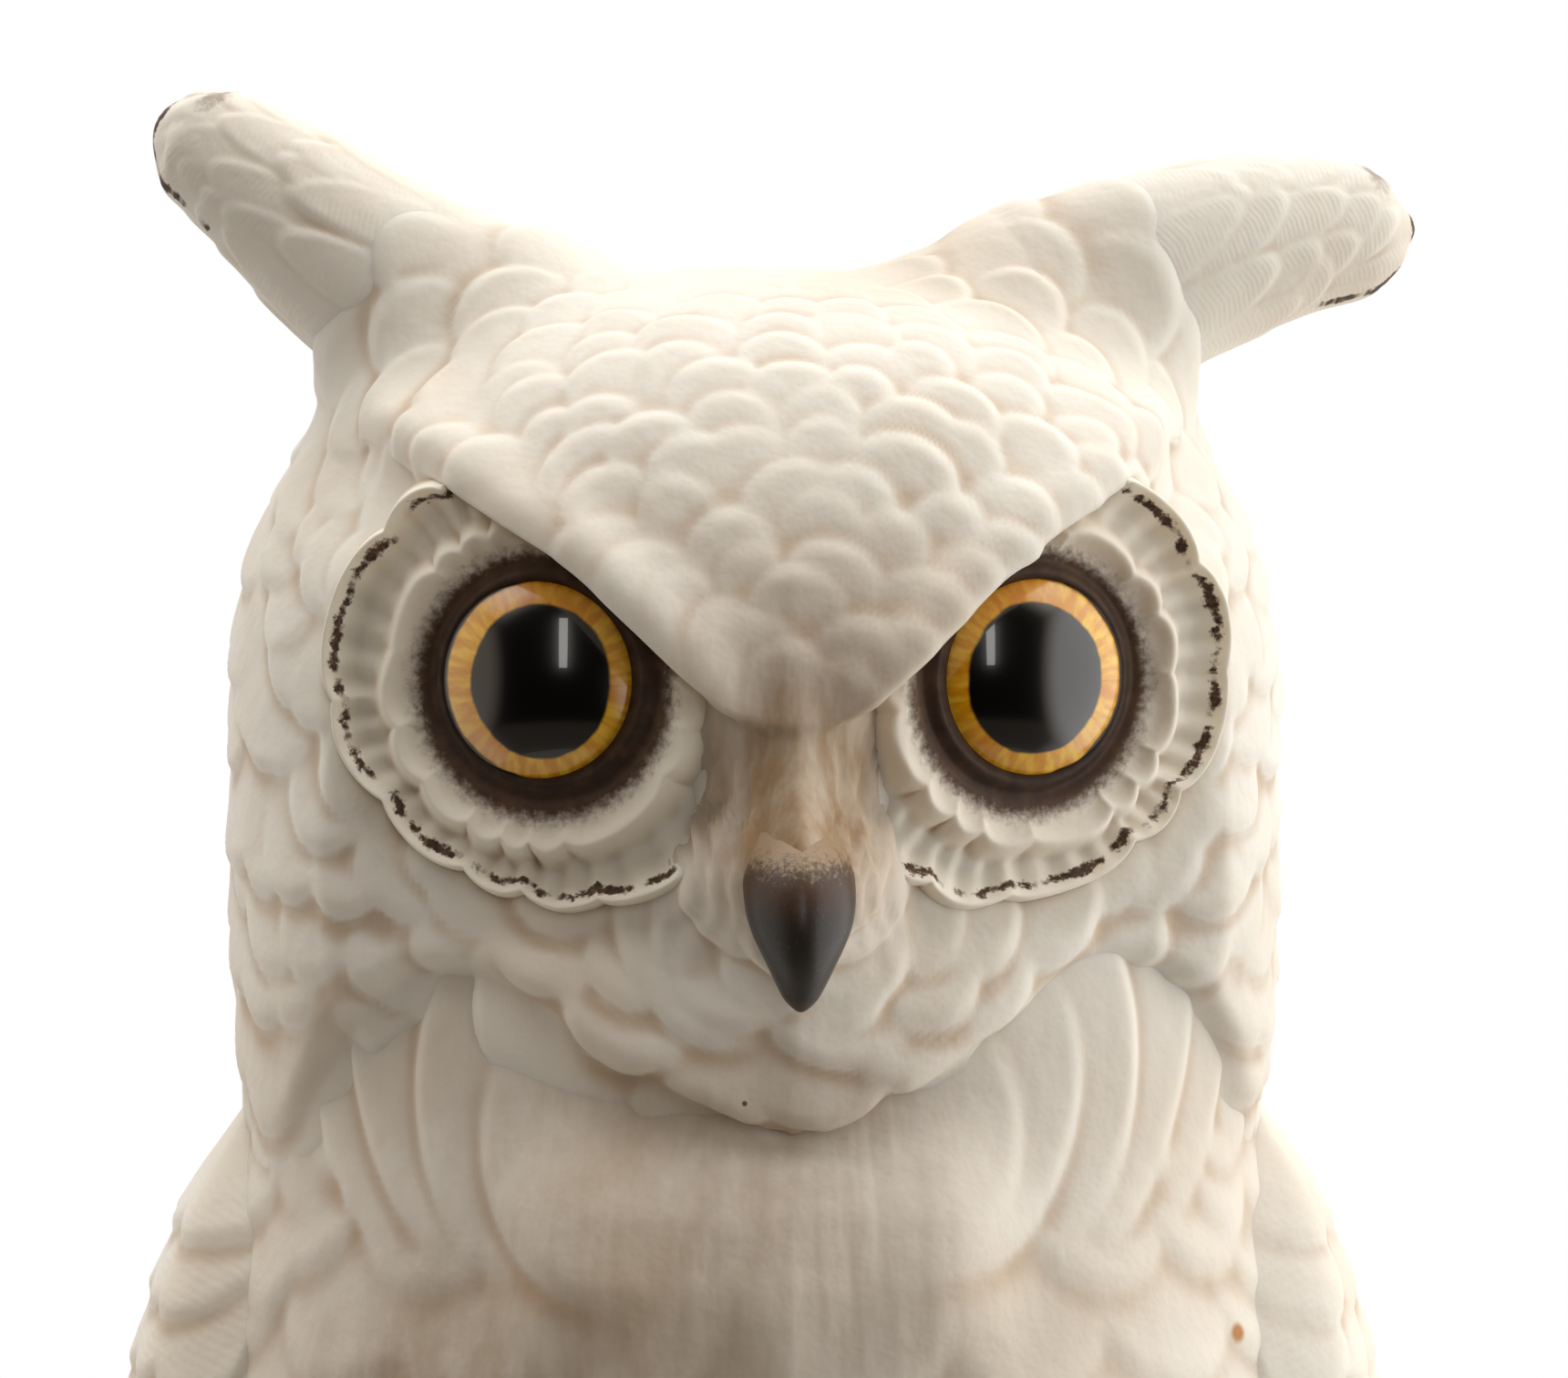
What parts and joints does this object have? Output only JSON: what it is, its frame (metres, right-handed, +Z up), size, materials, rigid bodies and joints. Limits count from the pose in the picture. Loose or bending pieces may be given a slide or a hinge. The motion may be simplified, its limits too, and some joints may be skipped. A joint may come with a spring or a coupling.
{
  "type": "owl figurine",
  "caption": "Eared owl perched on a tree stump, in hollow slip-cast bisque porcelain, with glazed amber eyes and a painted beak and claws.",
  "frame": {"origin": "middle of the flat underside of the stump, on the surface that the figurine stands on", "axes": "+Z up; the owl's breast faces -Y; the owl's own right side is at -X"},
  "size_m": [0.0952, 0.0883, 0.2054],
  "materials": {
    "bisque": "unglazed white bisque porcelain, fine matt grain, faintly translucent",
    "glazed_eye": "hand-painted amber iris and black pupil under a clear wet-looking glaze",
    "painted_horn": "bisque with brown-black ceramic paint, satin"
  },
  "bodies": {
    "root": {"stump_shell": "bisque", "torso_shell": "bisque", "tail": "bisque", "wing_right": "bisque", "wing_left": "bisque", "leg_right": "bisque", "leg_left": "bisque", "foot_right": "bisque", "foot_left": "bisque", "claw_right_outer": "painted_horn", "claw_right_middle": "painted_horn", "claw_right_inner": "painted_horn", "claw_left_outer": "painted_horn", "claw_left_middle": "painted_horn", "claw_left_inner": "painted_horn", "head_shell": "bisque", "beak": "painted_horn", "ear_right": "bisque", "ear_left": "bisque", "facial_disc_right": "bisque", "facial_disc_left": "bisque", "eye_right": "glazed_eye", "eye_left": "glazed_eye"}
  },
  "joints": []
}
